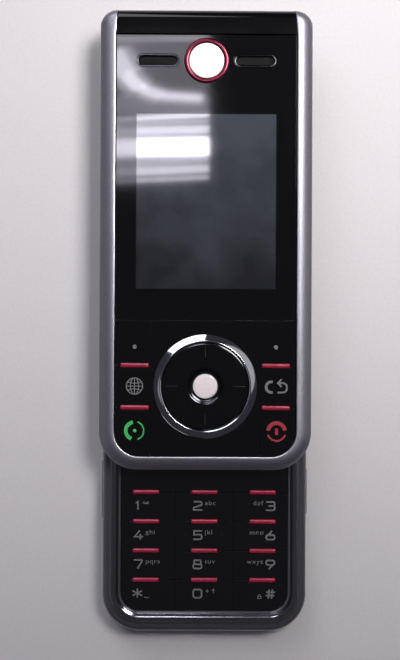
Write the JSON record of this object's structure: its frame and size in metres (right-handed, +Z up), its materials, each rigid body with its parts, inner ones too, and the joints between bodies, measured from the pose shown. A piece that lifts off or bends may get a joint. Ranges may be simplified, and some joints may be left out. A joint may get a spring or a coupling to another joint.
{
  "type": "slider mobile phone",
  "caption": "Slim sliding mobile phone: a display half with navigation ring rides on steel rails over a keypad half with red light bars, shown open.",
  "frame": {"origin": "middle of the keypad half's flat back, the face it lies on", "axes": "+Z up out of the keys and display, +Y toward the earpiece end and the way the slider opens, +X to the right of someone holding it"},
  "size_m": [0.05, 0.148, 0.0155],
  "materials": {
    "frame_metal": "satin",
    "dark_chrome": "polished",
    "bright_chrome": "polished",
    "gloss_black": "polished",
    "lens_black": "polished",
    "shell_plastic": "satin",
    "red_light": "satin",
    "white_key": "satin",
    "emblem_silver": "satin",
    "emblem_red": "polished",
    "steel": "brushed",
    "spring_steel": "polished",
    "circuit_board": "satin",
    "battery_wrap": "satin",
    "camera_glass": "polished",
    "black_rubber": "matte",
    "display_glass": "polished",
    "chassis_metal": "satin",
    "glide_plastic": "matte",
    "cable_film": "satin",
    "heavy_alloy": "machined"
  },
  "bodies": {
    "base": {"base_front_bezel": "dark_chrome", "base_rear_housing": "shell_plastic", "battery": "battery_wrap", "main_board": "circuit_board", "usb_socket": "steel", "sim_holder": "steel", "loudspeaker": "shell_plastic", "vibration_motor": "steel", "camera_module": "shell_plastic", "camera_window": "camera_glass", "keypad_board": "circuit_board", "keypad_light_bars": "red_light", "keypad_header": "gloss_black", "rail_plate": "steel", "rail_glide_pads": "glide_plastic", "base_screws": "steel", "slide_springs": "spring_steel", "flex_cable": "cable_film"},
    "slider": {"slider_frame": "frame_metal", "top_cap": "gloss_black", "display_lens": "lens_black", "emblem_disc": "emblem_silver", "emblem_ring": "emblem_red", "earpiece_trims": "dark_chrome", "earpiece_speaker": "shell_plastic", "lcd_panel": "display_glass", "lcd_chassis": "chassis_metal", "front_key_board": "circuit_board", "front_light_bars": "red_light", "nav_surround": "gloss_black", "nav_bezel": "bright_chrome", "slider_back_cover": "shell_plastic", "slide_plate": "steel", "slider_screws": "steel"},
    "cover": {"battery_cover": "shell_plastic"},
    "motor_weight": {"vibration_weight": "heavy_alloy"},
    "volume": {"volume_rocker": "shell_plastic"},
    "shutter": {"camera_key": "shell_plastic"},
    "nav_tilt": {"nav_carrier": "black_rubber"},
    "nav": {"nav_pad": "gloss_black", "select_collar": "gloss_black"},
    "select": {"select_key": "white_key"},
    "key_1_press": {"key_1": "gloss_black"},
    "key_2_press": {"key_2": "gloss_black"},
    "key_3_press": {"key_3": "gloss_black"},
    "key_4_press": {"key_4": "gloss_black"},
    "key_5_press": {"key_5": "gloss_black"},
    "key_6_press": {"key_6": "gloss_black"},
    "key_7_press": {"key_7": "gloss_black"},
    "key_8_press": {"key_8": "gloss_black"},
    "key_9_press": {"key_9": "gloss_black"},
    "key_star_press": {"key_star": "gloss_black"},
    "key_0_press": {"key_0": "gloss_black"},
    "key_hash_press": {"key_hash": "gloss_black"},
    "left_soft_key_press": {"left_soft_key": "gloss_black"},
    "right_soft_key_press": {"right_soft_key": "gloss_black"},
    "globe_key_press": {"globe_key": "gloss_black"},
    "clear_key_press": {"clear_key": "gloss_black"},
    "call_key_press": {"call_key": "gloss_black"},
    "end_key_press": {"end_key": "gloss_black"}
  },
  "joints": [
    {"name": "slide_open", "type": "slide", "parent": "base", "child": "slider", "axis": [0, 1, 0], "range_m": [-0.0395, 0], "deforming": ["slide_springs", "flex_cable"]},
    {"name": "cover_slide", "type": "slide", "parent": "base", "child": "cover", "axis": [0, 1, 0], "range_m": [-0.006, 0]},
    {"name": "motor_spin", "type": "hinge", "parent": "base", "child": "motor_weight", "pos_m": [0.01, 0.041, 0.0036], "axis": [1, 0, 0], "continuous": true},
    {"name": "volume_rock", "type": "hinge", "parent": "base", "child": "volume", "pos_m": [-0.02225, -0.02045, 0.0038], "axis": [0, 0, 1], "range_deg": [-1.2, 1.2], "stiffness_Nm_per_rad": 0.1},
    {"name": "shutter_press", "type": "slide", "parent": "base", "child": "shutter", "axis": [1, 0, 0], "range_m": [-0.00025, 0], "stiffness_N_per_m": 600, "springref_m": 0.001},
    {"name": "nav_tilt_x", "type": "hinge", "parent": "slider", "child": "nav_tilt", "pos_m": [0, 0.00495, 0.014], "axis": [1, 0, 0], "range_deg": [-1.5, 1.5], "stiffness_Nm_per_rad": 0.1},
    {"name": "nav_tilt_y", "type": "hinge", "parent": "nav_tilt", "child": "nav", "pos_m": [0, 0.00495, 0.014], "axis": [0, 1, 0], "range_deg": [-1.5, 1.5], "stiffness_Nm_per_rad": 0.1},
    {"name": "select_press", "type": "slide", "parent": "slider", "child": "select", "axis": [0, 0, 1], "range_m": [-0.00025, 0], "stiffness_N_per_m": 600, "springref_m": 0.001},
    {"name": "key_1_travel", "type": "slide", "parent": "base", "child": "key_1_press", "axis": [0, 0, 1], "range_m": [-0.00025, 0], "stiffness_N_per_m": 600, "springref_m": 0.001},
    {"name": "key_2_travel", "type": "slide", "parent": "base", "child": "key_2_press", "axis": [0, 0, 1], "range_m": [-0.00025, 0], "stiffness_N_per_m": 600, "springref_m": 0.001},
    {"name": "key_3_travel", "type": "slide", "parent": "base", "child": "key_3_press", "axis": [0, 0, 1], "range_m": [-0.00025, 0], "stiffness_N_per_m": 600, "springref_m": 0.001},
    {"name": "key_4_travel", "type": "slide", "parent": "base", "child": "key_4_press", "axis": [0, 0, 1], "range_m": [-0.00025, 0], "stiffness_N_per_m": 600, "springref_m": 0.001},
    {"name": "key_5_travel", "type": "slide", "parent": "base", "child": "key_5_press", "axis": [0, 0, 1], "range_m": [-0.00025, 0], "stiffness_N_per_m": 600, "springref_m": 0.001},
    {"name": "key_6_travel", "type": "slide", "parent": "base", "child": "key_6_press", "axis": [0, 0, 1], "range_m": [-0.00025, 0], "stiffness_N_per_m": 600, "springref_m": 0.001},
    {"name": "key_7_travel", "type": "slide", "parent": "base", "child": "key_7_press", "axis": [0, 0, 1], "range_m": [-0.00025, 0], "stiffness_N_per_m": 600, "springref_m": 0.001},
    {"name": "key_8_travel", "type": "slide", "parent": "base", "child": "key_8_press", "axis": [0, 0, 1], "range_m": [-0.00025, 0], "stiffness_N_per_m": 600, "springref_m": 0.001},
    {"name": "key_9_travel", "type": "slide", "parent": "base", "child": "key_9_press", "axis": [0, 0, 1], "range_m": [-0.00025, 0], "stiffness_N_per_m": 600, "springref_m": 0.001},
    {"name": "key_star_travel", "type": "slide", "parent": "base", "child": "key_star_press", "axis": [0, 0, 1], "range_m": [-0.00025, 0], "stiffness_N_per_m": 600, "springref_m": 0.001},
    {"name": "key_0_travel", "type": "slide", "parent": "base", "child": "key_0_press", "axis": [0, 0, 1], "range_m": [-0.00025, 0], "stiffness_N_per_m": 600, "springref_m": 0.001},
    {"name": "key_hash_travel", "type": "slide", "parent": "base", "child": "key_hash_press", "axis": [0, 0, 1], "range_m": [-0.00025, 0], "stiffness_N_per_m": 600, "springref_m": 0.001},
    {"name": "left_soft_key_travel", "type": "slide", "parent": "slider", "child": "left_soft_key_press", "axis": [0, 0, 1], "range_m": [-0.00025, 0], "stiffness_N_per_m": 600, "springref_m": 0.001},
    {"name": "right_soft_key_travel", "type": "slide", "parent": "slider", "child": "right_soft_key_press", "axis": [0, 0, 1], "range_m": [-0.00025, 0], "stiffness_N_per_m": 600, "springref_m": 0.001},
    {"name": "globe_key_travel", "type": "slide", "parent": "slider", "child": "globe_key_press", "axis": [0, 0, 1], "range_m": [-0.00025, 0], "stiffness_N_per_m": 600, "springref_m": 0.001},
    {"name": "clear_key_travel", "type": "slide", "parent": "slider", "child": "clear_key_press", "axis": [0, 0, 1], "range_m": [-0.00025, 0], "stiffness_N_per_m": 600, "springref_m": 0.001},
    {"name": "call_key_travel", "type": "slide", "parent": "slider", "child": "call_key_press", "axis": [0, 0, 1], "range_m": [-0.00025, 0], "stiffness_N_per_m": 600, "springref_m": 0.001},
    {"name": "end_key_travel", "type": "slide", "parent": "slider", "child": "end_key_press", "axis": [0, 0, 1], "range_m": [-0.00025, 0], "stiffness_N_per_m": 600, "springref_m": 0.001}
  ]
}
